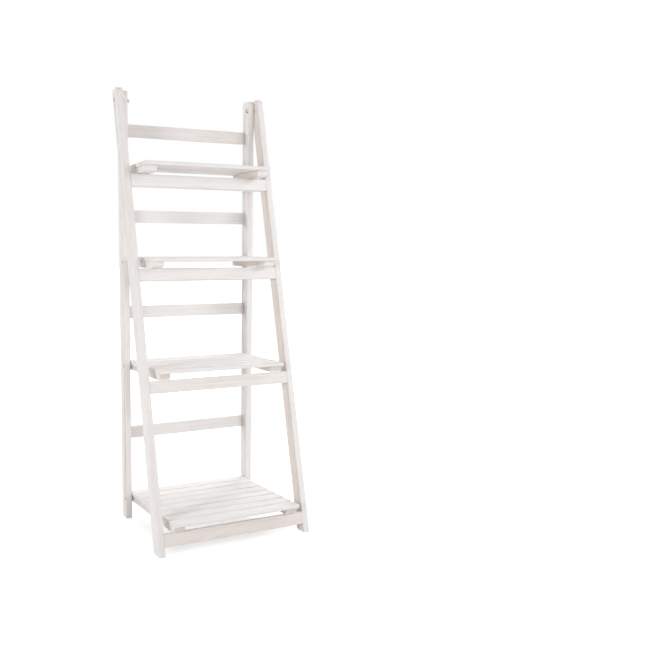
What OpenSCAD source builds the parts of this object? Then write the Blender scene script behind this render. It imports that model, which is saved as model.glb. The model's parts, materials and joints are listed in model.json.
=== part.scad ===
// Folding plant ladder stand in whitewashed wood. A front frame leans out from a rear frame
// about a bolt at the top of each side. Four slatted shelves hinge on the rear posts, rest on
// the front rungs when lowered, and fold up flat between the rungs when the stand is put away.
// Millimetres, +Z up, floor at Z = 0, front towards -Y, +X to the right seen from the front.
// The origin lies on the floor under the middle of the open stand's box.

/* [Frames] */
// Width across the front uprights
frame_w = 400; // [320:5:600]
// Height of the bolts that the two frames fold about
pivot_z = 1055; // [1020:5:1400]
// Lean of the front frame when the stand is open, in degrees
lean = 13.6; // [10:0.1:16]
// Thickness of an upright, measured across the stand
upright_t = 16; // [14:0.5:25]
// Depth of an upright, measured front to back
upright_d = 33; // [32:0.5:45]
// Length of a front upright above its bolt
front_head = 25; // [12:0.5:40]
// Length of a rear post above its bolt
rear_head = 25; // [12:0.5:40]
// Radius on the front corner of an upright's top end
head_r = 12; // [2:0.5:20]
// Gap between a front upright and the rear post beside it
side_gap = 1; // [1:0.1:4]

/* [Rungs] */
// Height of a rung
rung_h = 30; // [24:0.5:45]
// Thickness of a rung, measured front to back
rung_t = 12; // [9:0.5:12.5]
// Heights of the rear rungs' lower edges, from the top one down
rear_rung_z = [972, 762, 520.5, 207.5]; // [60:0.5:1300]

/* [Shelves] */
// Heights of the shelf hinges, from the top shelf down
hinge_z = [884.5, 662.5, 400, 53]; // [45:0.5:1200]
// How far each lowered shelf rises towards its front edge, in degrees
shelf_tilt = [0.7, -0.5, 0.6, 1.8]; // [-2:0.1:4]
// How far each shelf runs out past the rung that it rests on
front_overhang = [56, 42, 18, 19]; // [12:1:100]
// Width of a slat
slat_w = 31.5; // [28:0.5:60]
// Gap between two slats
slat_gap = 7; // [2:0.5:15]
// Thickness of a slat
slat_t = 9.5; // [9:0.5:15]
// Height of a batten
batten_h = 15.5; // [15:0.5:20]
// Width of a batten
batten_w = 28; // [26:0.5:40]
// Radius on a batten's lower front corner
batten_r = 12; // [2:0.5:12]
// How far a batten's front end lies behind the slats' front edge
batten_set = 7.5; // [0:0.5:8]
// How far a batten's outer side lies in from the slats' ends
batten_in = 2.5; // [0:0.5:6]
// Length of a batten behind its hinge
batten_tail = 20; // [10:0.5:22]
// Radius on a batten's lower rear corner
tail_r = 6; // [1:0.5:8]
// Height of the hinge above a batten's underside
hinge_up = 11; // [9:0.5:11]

/* [Fasteners] */
// Diameter of a frame bolt
bolt_d = 5; // [4:0.5:6]
// Diameter of a frame bolt's countersunk head
bolt_head_d = 10; // [8:0.5:14]
// Width across the flats of a frame nut
nut_af = 8; // [8:0.5:13]
// Height of a frame nut
nut_h = 4; // [3:0.5:8]
// Diameter of a hinge screw
hinge_screw_d = 4; // [3:0.5:4]
// Diameter of a hinge screw's countersunk head
hinge_head_d = 8.4; // [6:0.2:9]
// How far a hinge screw reaches into its batten
hinge_bite = 16; // [8:0.5:17]
// Diameter of a slat screw
slat_screw_d = 3; // [2:0.5:3.5]
// Diameter of a slat screw's countersunk head
slat_head_d = 5.5; // [4.5:0.5:7]
// How far a slat screw reaches into its slat
slat_bite = 6; // [3:0.5:8]
// Diameter of a dowel
dowel_d = 6; // [4:0.5:7]
// Length of a dowel
dowel_len = 24; // [16:0.5:40]
// How far a dowel reaches into its upright
dowel_in = 10; // [6:0.5:12]
// Distance between the two dowels in a rung's end
dowel_step = 14; // [10:0.5:16]

/* [Clearances] */
// Gap between a shelf's end and the rear post beside it
shelf_gap = 1.5; // [1:0.1:4]
// Height of a lowered shelf's underside above its rung
rest_gap = 0.3; // [0.2:0.1:1]
// Free space before and behind a shelf that is folded up between the rungs
nest_gap = 1.5; // [1:0.1:3]
// Radial clearance round a dowel, screw or bolt
peg_fit = 0.05; // [0.02:0.01:0.1]
// Depth of a screw head below the wood around it
head_sink = 0.3; // [0.1:0.1:0.6]
// Extra radial clearance round a frame bolt's head, on which the front frame turns
turn_gap = 0.25; // [0.1:0.05:0.5]
// Extra depth at the end of a blind hole
hole_end = 0.5; // [0.2:0.1:1]

/* [Hidden] */
$fn = 64;
SHELVES = [0:3];
SIDES = ["left", "right"];
wood = [0.90, 0.88, 0.84];
peg_wood = [0.80, 0.68, 0.50];
steel = [0.58, 0.57, 0.55];

// Distances from the stand's middle plane to the faces of the left and right pieces
front_in = frame_w / 2 - upright_t;
rear_out = front_in - side_gap;
rear_in = rear_out - upright_t;
shelf_half = rear_in - shelf_gap;
batten_out = shelf_half - batten_in;

// The shelves hinge in the same upright plane as the frame bolts. The two frames are set
// before and behind that plane so that a folded shelf lies between their rungs.
shelf_h = batten_h + slat_t;
front_face = hinge_up + nest_gap + rung_t;
rear_face = shelf_h - hinge_up + nest_gap + rung_t;
front_mid = front_face - upright_d / 2;
rear_mid = rear_face - upright_d / 2;
front_rung_y = rung_t / 2 - front_face;
rear_rung_y = rear_face - rung_t / 2;
slat_z = batten_h - hinge_up;
slat_pitch = slat_w + slat_gap;
least_tail = 10;

// Distance down the front frame from its bolts to the top of the rung under shelf k
function rung_drop(k) =
    let (open = lean - shelf_tilt[k])
    let (fall = (pivot_z - hinge_z[k]) * cos(shelf_tilt[k]))
    (hinge_up + rest_gap + fall + front_face * sin(open)) / cos(open);

// Middle height of rung k, from the frame bolts at the front and from the floor at the rear
function front_rung_mid(k) = -rung_drop(k) - rung_h / 2;
function rear_rung_mid(k) = rear_rung_z[k] + rung_h / 2;

// Length of shelf k in front of its hinges
function reach(k) = rung_drop(k) * sin(lean) + front_face * cos(lean) + front_overhang[k];

// Number of slats on shelf k, and the place of slat i's front edge before the hinges
function slat_count(k) = round((reach(k) + least_tail + slat_gap) / slat_pitch);
function slat_front(k, i) = i * slat_pitch - reach(k);

// Furthest points of the open stand before and behind the bolts
function shelf_tip(k) = reach(k) * cos(shelf_tilt[k]) - slat_z * sin(shelf_tilt[k]);
foot_tip = (pivot_z + front_face * sin(lean)) * tan(lean) + front_face * cos(lean);
axis_y = (max([foot_tip, for (k = SHELVES) shelf_tip(k)]) - rear_face) / 2;

// Washers: a thin spacer between the frames, one under each nut and a thick one at each shelf
// hinge, which fills the gap between post and batten and stays clear of the slats above it
washer_play = 0.1;
spacer_d = 14;
spacer_t = side_gap - 2 * washer_play;
nut_washer_d = 10;
nut_washer_t = 1;
washer_room = 0.5;
widest_washer = 10;
hinge_washer_d = min(widest_washer, 2 * (slat_z - washer_room));
hinge_washer_t = rear_in - batten_out - 2 * washer_play;

// How far a frame bolt runs out of its nut
bolt_end = 0.5;

// Countersunk heads: the cone's height as a share of its extra diameter, and what is cut into
// a head to turn it
head_cone = 0.5;
slot_w = 0.9;
slot_depth = 1.2;
key_af = 3;
key_depth = 2;

// Slat screws stand near a batten's inner side, clear of the ends of the hinge screws
screw_edge = 2.5;
screw_in = slat_head_d / 2 + screw_edge;

function shelf_node(k, piece) = str("shelf_", k + 1, "_", piece);

// ---- Places ----

// The rear frame: origin on the floor below the frame bolts
module in_rear_frame() {
    translate([0, axis_y, 0]) children();
}

// The front frame: origin on the frame bolts, its own -Z running down the leaning uprights
module in_front_frame() {
    translate([0, axis_y, pivot_z]) rotate([-lean, 0, 0]) children();
}

// Shelf k: origin on its hinges, its own -Y running out along the lowered shelf
module in_shelf(k) {
    translate([0, axis_y, hinge_z[k]]) rotate([-shelf_tilt[k], 0, 0]) children();
}

// Pieces are drawn on the left, where X is negative, and mirrored to the right
module on_side(side) {
    if (side == "right") mirror([1, 0, 0]) children();
    else children();
}

module on_both_sides() {
    for (side = SIDES) on_side(side) children();
}

// Turns an outline drawn in Y and Z into a plate that starts at X = from
module plate(from, thick) {
    translate([from, 0, 0]) rotate([90, 0, 90]) linear_extrude(thick) children();
}

// A round bar along +X from the point given
module bar_x(from, d, length) {
    translate(from) rotate([0, 90, 0]) cylinder(d = d, h = length);
}

// What rounding to radius r takes off a corner at the origin
module corner_cut(r) {
    difference() {
        translate([-1, -1]) square(r + 1);
        translate([r, r]) circle(r);
    }
}

// ---- Frames ----

// Outline of an upright: a plank with the front corner of its top end rounded
module upright_outline(mid, bottom, top) {
    translate([mid - upright_d / 2, top]) difference() {
        translate([0, bottom - top]) square([upright_d, top - bottom]);
        mirror([0, 1]) corner_cut(head_r);
    }
}

// Two dowels in the left end of a rung, or their holes when spare is more than 0
module dowel_pair(face, y, z, fit = 0, spare = 0) {
    for (way = [-1, 1])
        bar_x(
            [-face - dowel_in - spare, y, z + way * dowel_step / 2],
            dowel_d + 2 * fit,
            dowel_len + 2 * spare
        );
}

module front_dowel_holes() {
    for (k = SHELVES)
        dowel_pair(front_in, front_rung_y, front_rung_mid(k), peg_fit, hole_end);
}

module rear_dowel_holes() {
    for (k = SHELVES)
        dowel_pair(rear_in, rear_rung_y, rear_rung_mid(k), peg_fit, hole_end);
}

// A rung: a plain board between the uprights, centred on y and z
module rung(half_length, y, z) {
    translate([-half_length, y - rung_t / 2, z - rung_h / 2])
        cube([2 * half_length, rung_t, rung_h]);
}

module rear_post(side) {
    color(wood) in_rear_frame() on_side(side) difference() {
        plate(-rear_out, upright_t) upright_outline(rear_mid, 0, pivot_z + rear_head);
        bar_x([-rear_out - 1, 0, pivot_z], bolt_d + 2 * peg_fit, upright_t + 2);
        rear_dowel_holes();
        for (k = SHELVES) translate([-rear_out, 0, hinge_z[k]]) hinge_screw_hole();
    }
}

module rear_rung(k) {
    color(wood) in_rear_frame() difference() {
        rung(rear_in, rear_rung_y, rear_rung_mid(k));
        on_both_sides() rear_dowel_holes();
    }
}

module rear_dowels() {
    color(peg_wood) in_rear_frame() on_both_sides()
        for (k = SHELVES) dowel_pair(rear_in, rear_rung_y, rear_rung_mid(k));
}

// A front upright is cut level with the floor at its foot
module front_upright(side) {
    length = pivot_z / cos(lean) + upright_d;
    color(wood) difference() {
        in_front_frame() on_side(side) difference() {
            plate(-frame_w / 2, upright_t) upright_outline(-front_mid, -length, front_head);
            translate([-frame_w / 2, 0, 0]) rotate([0, 90, 0])
                countersunk_hole(bolt_d, bolt_head_d + 2 * turn_gap, upright_t + 1);
            front_dowel_holes();
        }
        translate([-frame_w, -pivot_z, -pivot_z]) cube([2 * frame_w, 2 * pivot_z, pivot_z]);
    }
}

module front_rung(k) {
    color(wood) in_front_frame() difference() {
        rung(front_in, front_rung_y, front_rung_mid(k));
        on_both_sides() front_dowel_holes();
    }
}

module front_dowels() {
    color(peg_wood) in_front_frame() on_both_sides()
        for (k = SHELVES) dowel_pair(front_in, front_rung_y, front_rung_mid(k));
}

// ---- Fasteners ----

// A screw or bolt along +Z, its countersunk head's flat face at Z = 0; what follows it is cut
// into the head
module countersunk(d, head_d, length) {
    difference() {
        union() {
            cylinder(d1 = head_d, d2 = d, h = (head_d - d) * head_cone);
            cylinder(d = d, h = length);
        }
        children();
    }
}

// The hole for a screw or bolt whose head lies head_sink below Z = 0
module countersunk_hole(d, head_d, length) {
    wide = head_d + 2 * peg_fit;
    bore = d + 2 * peg_fit;
    translate([0, 0, -1]) cylinder(d = wide, h = head_sink + 1);
    translate([0, 0, head_sink]) cylinder(d1 = wide, d2 = bore, h = (wide - bore) * head_cone);
    cylinder(d = bore, h = length);
}

// A screw with a crossed slot in its head
module slotted_screw(d, head_d, length) {
    countersunk(d, head_d, length)
        for (turn = [0, 90])
            rotate(turn) translate([-head_d / 4, -slot_w / 2, -1])
                cube([head_d / 2, slot_w, slot_depth + 1]);
}

// The frame bolts have a hex socket in their heads
module frame_bolts() {
    length = frame_w / 2 - rear_in + nut_washer_t + nut_h + bolt_end - head_sink;
    color(steel) on_both_sides()
        translate([-frame_w / 2 + head_sink, axis_y, pivot_z]) rotate([0, 90, 0])
            countersunk(bolt_d, bolt_head_d, length)
                translate([0, 0, -1]) cylinder(d = key_af / cos(30), h = key_depth + 1, $fn = 6);
}

// A washer on the frame bolt or hinge screw, lying from X = from towards +X
module washer(from, d, bore, thick) {
    difference() {
        bar_x([from, 0, 0], d, thick);
        bar_x([from - 1, 0, 0], bore + 2 * peg_fit, thick + 2);
    }
}

module frame_washers() {
    color(steel) on_both_sides() translate([0, axis_y, pivot_z]) {
        washer(-front_in + washer_play, spacer_d, bolt_d, spacer_t);
        washer(-rear_in, nut_washer_d, bolt_d, nut_washer_t);
    }
}

module frame_nuts() {
    color(steel) on_both_sides()
        translate([-rear_in + nut_washer_t, axis_y, pivot_z]) difference() {
            rotate([0, 90, 0]) cylinder(d = nut_af / cos(30), h = nut_h, $fn = 6);
            bar_x([-1, 0, 0], bolt_d + 2 * peg_fit, nut_h + 2);
        }
}

module hinge_screw_hole() {
    rotate([0, 90, 0]) countersunk_hole(hinge_screw_d, hinge_head_d, upright_t + 1);
}

module hinge_screws() {
    length = rear_out - batten_out + hinge_bite - head_sink;
    color(steel) on_both_sides() for (k = SHELVES)
        translate([-rear_out + head_sink, axis_y, hinge_z[k]]) rotate([0, 90, 0])
            slotted_screw(hinge_screw_d, hinge_head_d, length);
}

module hinge_washers() {
    color(steel) on_both_sides() for (k = SHELVES) translate([0, axis_y, hinge_z[k]])
        washer(-rear_in + washer_play, hinge_washer_d, hinge_screw_d, hinge_washer_t);
}

// ---- Shelves ----

// Place of the screws in slat i: its middle, or behind the rounded corner under the first slat
function screw_y(k, i) =
    max(slat_front(k, i) + slat_w / 2, batten_set - reach(k) + batten_r + slat_head_d / 2);

// Outline of a batten, rounded at its lower front and lower rear corners
module batten_outline(k) {
    length = reach(k) - batten_set + batten_tail;
    translate([batten_tail, -hinge_up]) difference() {
        translate([-length, 0]) square([length, batten_h]);
        translate([-length, 0]) corner_cut(batten_r);
        mirror([1, 0]) corner_cut(tail_r);
    }
}

module shelf_batten(k, side) {
    color(wood) in_shelf(k) on_side(side) difference() {
        plate(-batten_out, batten_w) batten_outline(k);
        bar_x([-batten_out - 1, 0, 0], hinge_screw_d + 2 * peg_fit, hinge_bite + hole_end + 1);
        for (i = [0:slat_count(k) - 1]) slat_screw_at(k, i)
            countersunk_hole(slat_screw_d, slat_head_d, batten_h + 1);
    }
}

// Puts its child under the left batten, below slat i, pointing up
module slat_screw_at(k, i) {
    translate([-batten_out + batten_w - screw_in, screw_y(k, i), -hinge_up]) children();
}

module shelf_slat(k, i) {
    color(wood) in_shelf(k) difference() {
        translate([-shelf_half, slat_front(k, i), slat_z]) cube([2 * shelf_half, slat_w, slat_t]);
        on_both_sides() slat_screw_at(k, i)
            cylinder(d = slat_screw_d + 2 * peg_fit, h = batten_h + slat_bite + hole_end);
    }
}

module shelf_screws(k) {
    length = batten_h + slat_bite - head_sink;
    color(steel) in_shelf(k) on_both_sides() for (i = [0:slat_count(k) - 1])
        slat_screw_at(k, i) translate([0, 0, head_sink])
            slotted_screw(slat_screw_d, slat_head_d, length);
}

// ---- The stand ----

for (side = SIDES)
    rear_post(side);
for (k = SHELVES)
    rear_rung(k);
rear_dowels();
for (side = SIDES)
    front_upright(side);
for (k = SHELVES)
    front_rung(k);
front_dowels();
frame_bolts();
frame_washers();
frame_nuts();
hinge_screws();
hinge_washers();
for (k = SHELVES, side = SIDES)
    shelf_batten(k, side);
for (k = SHELVES, i = [1:slat_count(k)])
    shelf_slat(k, i - 1);
for (k = SHELVES)
    shelf_screws(k);
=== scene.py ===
"""Looks of a folding plant ladder stand in whitewashed wood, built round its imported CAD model.

Each wooden board is a copy of its CAD node with eased edges and its own grain, and replaces
that node. The dowels and fasteners stay the CAD's own meshes. Metres, +Z up, front towards -Y.
"""

import json
import math
import random

import bmesh
import bpy
import numpy as np
from mathutils import Matrix, Vector


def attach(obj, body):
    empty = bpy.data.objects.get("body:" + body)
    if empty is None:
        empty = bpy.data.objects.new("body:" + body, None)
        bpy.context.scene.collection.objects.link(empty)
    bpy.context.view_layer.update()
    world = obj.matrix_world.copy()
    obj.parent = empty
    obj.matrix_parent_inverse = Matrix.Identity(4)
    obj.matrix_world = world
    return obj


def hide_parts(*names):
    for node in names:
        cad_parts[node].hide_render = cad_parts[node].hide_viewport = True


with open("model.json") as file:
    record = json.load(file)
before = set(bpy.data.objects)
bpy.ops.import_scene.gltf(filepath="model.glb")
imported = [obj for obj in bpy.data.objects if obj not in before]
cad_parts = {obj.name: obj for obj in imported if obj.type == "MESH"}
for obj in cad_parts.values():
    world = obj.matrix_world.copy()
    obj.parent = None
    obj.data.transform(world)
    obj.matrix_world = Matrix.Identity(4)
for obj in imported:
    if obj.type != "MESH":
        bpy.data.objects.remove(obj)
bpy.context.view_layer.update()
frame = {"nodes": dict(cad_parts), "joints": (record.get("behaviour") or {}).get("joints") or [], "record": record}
record = frame["record"]

MM = 0.001
RIGHT_ANGLE = math.radians(90)

# ---------------------------------------------------------------- how the boards lie

JOINTS = {joint["child"]: joint for joint in frame["joints"]}


def body_turn(body):
    """The turn about X, in radians, that lays a body's boards along the axes of the frame."""
    if body == "rear_frame":
        return 0.0
    limit = math.radians(JOINTS[body]["range_deg"][1])
    return limit if body == "front_frame" else RIGHT_ANGLE - limit


# ---------------------------------------------------------------- shader nodes


class Nodes:
    """A node tree, with short calls that make and join its nodes."""

    def __init__(self, tree):
        self.tree = tree

    def put(self, socket, value):
        """Joins a node's output to a socket, or sets the socket's own value."""
        if isinstance(value, bpy.types.NodeSocket):
            self.tree.links.new(value, socket)
        else:
            socket.default_value = value

    def node(self, kind, inputs=(), **settings):
        made = self.tree.nodes.new(kind)
        for name, value in settings.items():
            setattr(made, name, value)
        for name, value in dict(inputs).items():
            self.put(made.inputs[name], value)
        return made

    def place(self):
        return self.node("ShaderNodeTexCoord").outputs["Object"]

    def attribute(self, name, output="Vector"):
        return self.node("ShaderNodeAttribute", attribute_name=name).outputs[output]

    def math(self, operation, *values, clamp=False):
        made = self.node("ShaderNodeMath", operation=operation, use_clamp=clamp)
        for socket, value in zip(made.inputs, values):
            self.put(socket, value)
        return made.outputs[0]

    def plus(self, a, b):
        return self.math("ADD", a, b)

    def minus(self, a, b):
        return self.math("SUBTRACT", a, b)

    def times(self, a, b):
        return self.math("MULTIPLY", a, b)

    def times_plus(self, a, b, c):
        """a times b, plus c."""
        return self.math("MULTIPLY_ADD", a, b, c)

    def least(self, a, b):
        return self.math("MINIMUM", a, b)

    def most(self, a, b):
        return self.math("MAXIMUM", a, b)

    def vector_math(self, operation, *values, output="Vector"):
        made = self.node("ShaderNodeVectorMath", operation=operation)
        for socket, value in zip(made.inputs, values):
            self.put(socket, value)
        return made.outputs[output]

    def split(self, vector):
        return self.node("ShaderNodeSeparateXYZ", {"Vector": vector}).outputs

    def join(self, x, y, z):
        return self.node("ShaderNodeCombineXYZ", {"X": x, "Y": y, "Z": z}).outputs[0]

    def noise(self, vector, scale, detail, rough=0.5):
        inputs = {"Vector": vector, "Scale": scale, "Detail": detail, "Roughness": rough}
        return self.node("ShaderNodeTexNoise", inputs).outputs["Fac"]

    def remap(self, value, low, high, to_low=0.0, to_high=1.0, kind="LINEAR"):
        inputs = {
            "Value": value,
            "From Min": low,
            "From Max": high,
            "To Min": to_low,
            "To Max": to_high,
        }
        return self.node("ShaderNodeMapRange", inputs, interpolation_type=kind).outputs[0]

    def smooth(self, value, low, high, to_low=0.0, to_high=1.0):
        return self.remap(value, low, high, to_low, to_high, "SMOOTHSTEP")

    def mix(self, factor, a, b):
        """Between two colours. The node has a set of sockets for each kind of value."""
        made = self.node("ShaderNodeMix", data_type="RGBA")
        for index, value in zip((0, 6, 7), (factor, a, b)):
            self.put(made.inputs[index], value)
        return made.outputs[2]

    def bump(self, height, distance, strength):
        inputs = {"Height": height, "Distance": distance, "Strength": strength}
        return self.node("ShaderNodeBump", inputs).outputs[0]

    def seen_share(self):
        """1 for the camera's rays and for rays mirrored or let through, else 0."""
        path = self.node("ShaderNodeLightPath").outputs
        seen = self.most(path["Is Camera Ray"], path["Is Glossy Ray"])
        return self.most(seen, path["Is Transmission Ray"])


class Shader(Nodes):
    """The nodes of a new material with one Principled surface."""

    def __init__(self, name):
        self.material = bpy.data.materials.new(name)
        self.material.use_nodes = True
        super().__init__(self.material.node_tree)

    def finish(self, **sockets):
        surface = self.tree.nodes["Principled BSDF"]
        for name, value in sockets.items():
            self.put(surface.inputs[name.replace("_", " ")], value)
        return self.material


def rgb(red, green, blue):
    """A colour given as it looks, 0 to 255 a channel, as the linear value that a shader takes."""

    def linear(value):
        share = value / 255
        return share / 12.92 if share <= 0.04045 else ((share + 0.055) / 1.055) ** 2.4

    return (linear(red), linear(green), linear(blue), 1.0)


WHITE = rgb(255, 255, 255)

# ---------------------------------------------------------------- materials

WASH_COLOUR = rgb(241, 240, 240)
BARE_COLOURS = rgb(205, 163, 129), rgb(197, 162, 132)

# Noise patterns in a board: the scale for each millimetre along it and across it, then the
# scale, detail and roughness of the noise itself
SWAY = 0.012, 0.05, 1.0, 2.0, 0.5
FIBRE = 0.03, 1.0, 1.6, 3.0, 0.6
STREAK = 0.0045, 0.32, 1.0, 2.0, 0.55
WASH = 0.014, 0.06, 1.0, 3.0, 0.5

# How far a board's seed moves these patterns: along it, across it and through it, in millimetres
SEED_SHIFT = 900.0, 370.0, 230.0

# Growth rings, in millimetres: their width, how far they sway, and how deep under the board
# their pith lies at least and how much deeper at most
RING_WIDTH = 3.0
SWAY_WIDTH = 5.0
PITH_DEPTH, MORE_DEPTH = 12.0, 26.0
# How many ring widths the rings wander, and on what scale along them and outwards
UNEVEN_RINGS = 2.2
UNEVEN_ALONG, UNEVEN_OUTWARD = 0.004, 0.09
# The part of a ring, 0 to 1, over which its late wood darkens, and over which it ends
LATE_DARKENS = 0.15, 0.86
LATE_ENDS = 1.0, 0.9

# Millimetres from an edge at which it begins to look worn and is fully worn
WEAR_BEGINS, WEAR_FULL = 1.5, 0.3

# The span of a noise pattern over which what hangs on it goes from none to full
THIN_SPAN = 0.3, 0.75
WORN_SPAN = 0.35, 0.62
STREAK_SPAN = 0.42, 0.72
PORE_SPAN = 0.5, 0.8
MIDDLE_SPAN = 0.3, 0.7

# How much of the bare wood each mark lets show through the wash, 0 to 1, and how much of that
# is left where the wash is thick
RINGS_SHOW, THIN_RINGS_SHOW = 0.11, 0.5
STREAKS_SHOW = 0.13
PORES_SHOW = 0.12
EDGES_SHOW = 0.16
# Bare wood shown on the barer faces: end grain, and painted shade on undersides, inward faces and lower batten
# ends
RAW_AND_SHADE_SHOWS = 0.25, 0.45
THICK_SHARE = 0.3

# How high the fibres and the late wood stand against each other
FIBRE_RISE, LATE_RISE = 0.5, 0.35
# Bumps: their depth in metres and their strength
WOOD_BUMP = 0.12 * MM, 0.6
DOWEL_BUMP = 0.1 * MM, 0.5
STEEL_BUMP = 0.02 * MM, 0.4
# Roughness at the ends of a pattern's span
WASH_ROUGHNESS = 0.52, 0.68
STEEL_ROUGHNESS = 0.38, 0.55

# Scale of the fibres for each metre along X, Y and Z
DOWEL_STRETCH = 40.0, 900.0, 900.0
# Patterns in the plating: scale for each metre, detail and roughness of the noise
CLOUD = 260.0, 3.0, 0.6
SPECK = 1900.0, 2.0, 0.6


def whitewashed_wood():
    """Thin white wash over pale softwood.

    The boards carry these attributes: grain is the place in the board in millimetres, along it,
    across it and through it; half is half of the board's size the same way; board holds how thin
    the wash lies on it, where its pith lies across it in millimetres, and how far the grain drifts
    across it for each millimetre along it; seed tells the boards apart; the last holds how much
    barer than the rest a face is left, on end grain as the wood's own look, and as painted shade
    under the shelves, on faces turned inwards and on the lower shelves' batten ends.
    """
    s = Shader("whitewashed_wood")
    grain = s.attribute("grain")
    thin_board, pith, drift = s.split(s.attribute("board"))
    seed = s.attribute("seed", "Fac")
    raw_and_shade = s.attribute("raw_and_shade", "Fac")
    along, across, through = s.split(grain)
    shifted = [
        s.times_plus(seed, shift, place)
        for shift, place in zip(SEED_SHIFT, (along, across, through))
    ]

    def pattern(by_along, by_side, *texture):
        """Noise drawn out along the board."""
        scales = by_along, by_side, by_side
        return s.noise(s.join(*map(s.times, shifted, scales)), *texture)

    # Growth rings round a pith that lies outside the board and runs slightly askew to it
    sway = s.times(s.minus(pattern(*SWAY), 0.5), SWAY_WIDTH)
    centre = s.times_plus(along, drift, s.plus(pith, sway))
    ring_x = s.minus(across, centre)
    ring_y = s.plus(through, s.times_plus(seed, MORE_DEPTH, PITH_DEPTH))
    reach = s.math("SQRT", s.plus(s.times(ring_x, ring_x), s.times(ring_y, ring_y)))
    wander = s.join(s.times(shifted[0], UNEVEN_ALONG), s.times(reach, UNEVEN_OUTWARD), seed)
    uneven = s.noise(wander, 1.0, 1.0)
    ring = s.math("FRACT", s.times_plus(uneven, UNEVEN_RINGS, s.math("DIVIDE", reach, RING_WIDTH)))
    late_wood = s.times(s.smooth(ring, *LATE_DARKENS), s.smooth(ring, *LATE_ENDS))

    # Fibres and pores, and the wash in thick and thin brushed patches
    fibre = pattern(*FIBRE)
    streak = pattern(*STREAK)
    wash = pattern(*WASH)
    thin = s.remap(wash, *THIN_SPAN, THICK_SHARE, 1.0)

    # Edges, where the wash has worn thin: the second nearest of the board's three pairs of
    # faces is close only there
    inset = s.vector_math("SUBTRACT", s.attribute("half"), s.vector_math("ABSOLUTE", grain))
    to_end, to_side, to_face = s.split(inset)
    second = s.least(s.most(to_side, to_face), s.most(to_end, s.least(to_side, to_face)))
    edge = s.times(s.smooth(second, WEAR_BEGINS, WEAR_FULL), s.remap(wash, *WORN_SPAN))

    rings_show = s.times(thin, s.times_plus(thin_board, THIN_RINGS_SHOW, RINGS_SHOW))
    streaks_show = s.times(thin, STREAKS_SHOW)
    shows = s.times(late_wood, rings_show)
    shows = s.times_plus(s.smooth(streak, *STREAK_SPAN), streaks_show, shows)
    shows = s.times_plus(s.remap(fibre, *PORE_SPAN), PORES_SHOW, shows)
    shows = s.times_plus(edge, EDGES_SHOW, shows)
    # Faces left barer: end grain, and painted shade under the shelves, on inward faces and on the lower batten
    # ends
    shows = s.times_plus(raw_and_shade, s.remap(fibre, *MIDDLE_SPAN, *RAW_AND_SHADE_SHOWS), shows)
    shows = s.math("ADD", thin_board, shows, clamp=True)

    bare = s.mix(s.remap(wash, *MIDDLE_SPAN), *BARE_COLOURS)
    height = s.times_plus(fibre, FIBRE_RISE, s.times(late_wood, LATE_RISE))
    return s.finish(
        Base_Color=s.mix(shows, WASH_COLOUR, bare),
        Roughness=s.remap(s.plus(fibre, wash), 0.7, 1.3, *WASH_ROUGHNESS),
        Normal=s.bump(height, *WOOD_BUMP),
    )


def dowel_wood():
    """Bare beech, with its fibres along the dowels, which all lie along X."""
    s = Shader("dowel_wood")
    stretched = s.vector_math("MULTIPLY", s.place(), DOWEL_STRETCH)
    fibre = s.noise(stretched, 1.0, 3.0)
    return s.finish(
        Base_Color=s.mix(fibre, rgb(205, 176, 136), rgb(178, 146, 106)),
        Roughness=0.6,
        Normal=s.bump(fibre, *DOWEL_BUMP),
    )


def fastener_steel():
    """Dull zinc plating, clouded and finely speckled."""
    s = Shader("fastener_steel")
    place = s.place()
    cloud = s.noise(place, *CLOUD)
    speck = s.noise(place, *SPECK)
    return s.finish(
        Base_Color=s.mix(cloud, rgb(158, 156, 152), rgb(184, 182, 178)),
        Metallic=1.0,
        Roughness=s.remap(s.plus(cloud, s.times(speck, 0.5)), 0.5, 1.0, *STEEL_ROUGHNESS),
        Normal=s.bump(speck, *STEEL_BUMP),
    )


WOOD = whitewashed_wood()
KEPT = {"dowel_wood": dowel_wood(), "fastener_steel": fastener_steel()}

# ---------------------------------------------------------------- pieces

# How wide a board's edges are eased, and in how many steps
EASE = 1.3 * MM, 3
SLAT_EASE = 2.6 * MM, 4
SLAT_END_EASE = 0.7 * MM, 2

LONG_EDGE = 1.2 * MM
SAME_PLACE = 0.001 * MM
SAME_PLANE = 0.005
SHARP = math.radians(35)
SHADED_SHARP = math.radians(40)

# The wash lies thinner on end grain; the barer wash under the shelves and on the sides that face inwards is
# painted shade
RAW_END, UNDER_PAINTED_SHADE, INNER_PAINTED_SHADE = 0.1, 0.2, 0.55
# Batten ends by shelf: as washed as the rest on the upper two, left bare on the lower two, which paints in the
# shade of the lower shelves
BATTEN_END_GRAIN_AND_SHADE = {"shelf_1": 0.0, "shelf_2": 0.0, "shelf_3": 1.0, "shelf_4": 0.9}
# A face counts as facing one way when its normal has at least this share along it
FACING = 0.6

# How thin the wash lies on the boards whose look stands out, and how far their grain drifts
THIN = {
    "rear_rung_1": 0.1,
    "rear_rung_2": 0.0,
    "rear_rung_3": 0.03,
    "rear_rung_4": 0.05,
    "front_rung_3": 0.09,
    "front_rung_4": 0.17,
    "front_upright_left": 0.06,
    "rear_post_left": 0.06,
}
DRIFT = {"front_rung_4": 0.28, "front_rung_3": -0.05}
# The most that the other boards have of either, and how far to a side a pith lies at most
MOST_THIN = 0.05
MOST_DRIFT = 0.012
PITH_ASIDE = 17.0


def long_sharp_edges(shape):
    """The edges of a board itself, without those of its screw and dowel holes."""
    return [
        edge
        for edge in shape.edges
        if len(edge.link_faces) == 2
        and edge.calc_length() > LONG_EDGE
        and edge.calc_face_angle(0) > SHARP
        and edge.is_convex
    ]


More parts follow.
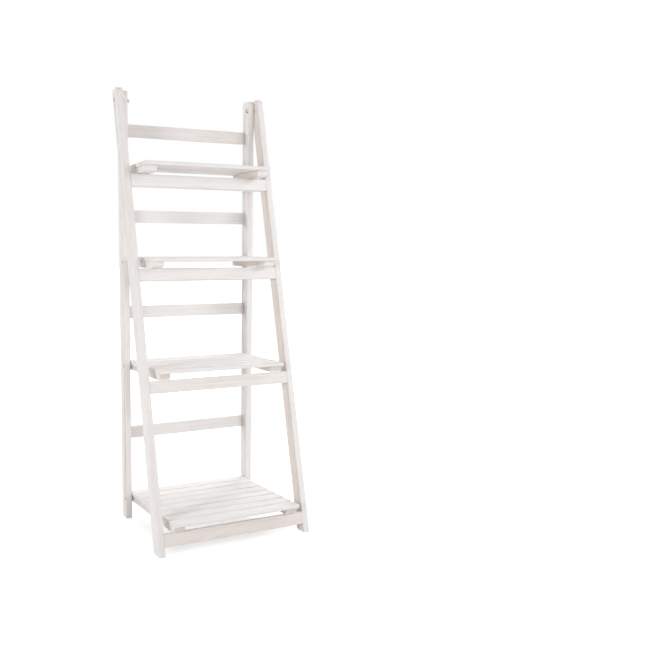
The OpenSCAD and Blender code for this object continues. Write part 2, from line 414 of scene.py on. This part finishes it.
def ease(shape, edges, width, segments):
    bmesh.ops.bevel(
        shape,
        geom=edges,
        offset=width,
        segments=segments,
        profile=0.5,
        affect="EDGES",
        clamp_overlap=False,
    )


def along_slat(edge):
    return abs(edge.verts[0].co.x - edge.verts[1].co.x) > LONG_EDGE


def ease_slat(shape):
    """Rounds a slat's long edges well and its sawn ends a little."""
    ease(shape, [edge for edge in long_sharp_edges(shape) if along_slat(edge)], *SLAT_EASE)
    ends = [
        edge
        for edge in shape.edges
        if not along_slat(edge) and edge.calc_face_angle(0) > SHARP
    ]
    ease(shape, ends, *SLAT_END_EASE)


def write_grain(mesh, name, body):
    """Gives a board's vertices their place in the board, and the board its own wash and grain."""
    upright = np.array(Matrix.Rotation(body_turn(body), 3, "X")).T
    points = np.array([vertex.co for vertex in mesh.vertices]) @ upright / MM
    low, high = points.min(0), points.max(0)
    longest_first = np.argsort(low - high)
    points = (points - (low + high) / 2)[:, longest_first]
    half = ((high - low) / 2)[longest_first]

    normals = np.array([face.normal for face in mesh.polygons]) @ upright
    # End grain is left barer; on the batten ends of the lower shelves this is painted shade
    end = BATTEN_END_GRAIN_AND_SHADE[body] if "batten" in name else RAW_END
    raw_and_shade = np.where(np.abs(normals[:, longest_first[0]]) > FACING, end, 0.0)
    # Shelf undersides and faces turned inwards get a barer, darker wash: painted shade
    if name.startswith("shelf"):
        raw_and_shade[normals[:, 2] < -FACING] = UNDER_PAINTED_SHADE
    if "batten" in name or "upright" in name:
        inward = -math.copysign(1.0, low[0]) * normals[:, 0]
        raw_and_shade[inward > FACING] = INNER_PAINTED_SHADE

    shares = random.Random(name)
    board = (
        THIN.get(name, shares.uniform(0.0, MOST_THIN)),
        shares.uniform(-PITH_ASIDE, PITH_ASIDE),
        DRIFT.get(name, shares.uniform(-MOST_DRIFT, MOST_DRIFT)),
    )
    count = len(points)
    for title, kind, domain, key, values in (
        ("grain", "FLOAT_VECTOR", "POINT", "vector", points),
        ("half", "FLOAT_VECTOR", "POINT", "vector", np.tile(half, (count, 1))),
        ("board", "FLOAT_VECTOR", "POINT", "vector", np.tile(board, (count, 1))),
        ("seed", "FLOAT", "POINT", "value", np.full(count, shares.random())),
        ("raw_and_shade", "FLOAT", "FACE", "value", raw_and_shade),
    ):
        layer = mesh.attributes.new(title, kind, domain)
        layer.data.foreach_set(key, values.astype(np.float32).ravel())


def make_board(name, body):
    """A copy of a CAD board with its long edges eased, which stands for that node."""
    shape = bmesh.new()
    shape.from_mesh(frame["nodes"][name].data)
    bmesh.ops.remove_doubles(shape, verts=shape.verts, dist=SAME_PLACE)
    bmesh.ops.dissolve_limit(
        shape, angle_limit=SAME_PLANE, verts=shape.verts, edges=shape.edges
    )
    if "_slat_" in name:
        ease_slat(shape)
    else:
        ease(shape, long_sharp_edges(shape), *EASE)
    bmesh.ops.triangulate(shape, faces=[face for face in shape.faces if len(face.verts) > 4])
    mesh = bpy.data.meshes.new(name + "_board")
    shape.to_mesh(mesh)
    shape.free()
    mesh.shade_smooth()
    mesh.set_sharp_from_angle(angle=SHADED_SHARP)
    write_grain(mesh, name, body)
    mesh.materials.append(WOOD)
    piece = bpy.data.objects.new(name + "_board", mesh)
    bpy.context.scene.collection.objects.link(piece)
    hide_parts(name)
    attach(piece, body)


slots = {part["node"]: part["material_slot"] for part in record["subparts"]}
for body, names in record["behaviour"]["bodies"].items():
    for name in names:
        if slots[name] in KEPT:
            for place in frame["nodes"][name].material_slots:
                place.material = KEPT[slots[name]]
        else:
            make_board(name, body)

# ---------------------------------------------------------------- floor, light and camera

FLOOR_SIZE = 60.0
# The floor's own glow near the object and far from it, and between which distances it changes
NEAR_GLOW, FAR_GLOW = 0.48, 0.9
GLOW_FROM, GLOW_TO = 0.5, 2.4

WORLD_LIGHT = 0.45

# Square lamps: where each hangs, how wide it is and its power in watts
LAMPS = {
    "key_left": ((-2.78, -1.08, 0.82), 0.6, 30.0),
    "front_right": ((1.53, -2.45, 1.33), 1.4, 25.0),
    "right": ((2.63, -0.7, 1.77), 1.4, 16.5),
    "back_top": ((0.0, 2.3, 2.43), 2.0, 31.0),
    "back_right": ((2.16, 1.81, 1.53), 1.4, 22.0),
}
LAMPS_AIM = Vector((0.0, 0.0, 0.5))

# The camera that took the photograph, found from the stand's edges and corners
PHOTO_SIZE = 650
SENSOR = 36.0
FOCAL_PIXELS = 753.5
CENTRE_X, CENTRE_Y = 200.1, 344.8
CAMERA_PLACE = Vector((-0.79384, -1.67279, 0.68779))
CAMERA_YAW, CAMERA_PITCH = math.radians(24.555), math.radians(7.015)


def make_floor():
    """A pale floor that shows as white apart from the object's shadow.

    The lamps reach less of it far away, where its own glow takes their place.
    """
    s = Shader("floor")
    place = s.place()
    away = s.vector_math("LENGTH", place, output="Value")
    glow = s.smooth(away, GLOW_FROM, GLOW_TO, NEAR_GLOW, FAR_GLOW)
    speck = s.noise(place, 40.0, 2.0)
    s.finish(
        Base_Color=s.mix(speck, rgb(232, 232, 231), rgb(236, 236, 235)),
        Roughness=0.9,
        Emission_Color=WHITE,
        Emission_Strength=s.times(s.seen_share(), glow),
    )
    bpy.ops.mesh.primitive_plane_add(size=FLOOR_SIZE, location=(0, 0, 0))
    floor = bpy.context.object
    floor.name = "floor"
    floor.data.materials.append(s.material)


def make_world():
    """Even light from all round, which shows as white."""
    world = bpy.data.worlds.new("studio")
    bpy.context.scene.world = world
    world.use_nodes = True
    s = Nodes(world.node_tree)
    background = s.tree.nodes["Background"].inputs
    s.put(background["Color"], WHITE)
    s.put(background["Strength"], s.remap(s.seen_share(), 0.0, 1.0, WORLD_LIGHT, 1.0))


def make_lamp(name, place, size, power):
    light = bpy.data.lights.new(name, "AREA")
    light.shape = "SQUARE"
    light.size = size
    light.energy = power
    lamp = bpy.data.objects.new(name, light)
    lamp.location = place
    lamp.rotation_mode = "QUATERNION"
    lamp.rotation_quaternion = (LAMPS_AIM - Vector(place)).to_track_quat("-Z", "Y")
    bpy.context.scene.collection.objects.link(lamp)


def make_camera():
    data = bpy.data.cameras.new("camera")
    data.sensor_width = SENSOR
    data.lens = FOCAL_PIXELS / PHOTO_SIZE * SENSOR
    data.shift_x = (PHOTO_SIZE / 2 - CENTRE_X) / PHOTO_SIZE
    data.shift_y = (CENTRE_Y - PHOTO_SIZE / 2) / PHOTO_SIZE
    camera = bpy.data.objects.new("camera", data)
    camera.location = CAMERA_PLACE
    camera.rotation_euler = (RIGHT_ANGLE - CAMERA_PITCH, 0.0, -CAMERA_YAW)
    bpy.context.scene.collection.objects.link(camera)
    bpy.context.scene.camera = camera


make_floor()
make_world()
for name, lamp in LAMPS.items():
    make_lamp(name, *lamp)
make_camera()
bpy.context.scene.view_settings.view_transform = "Standard"
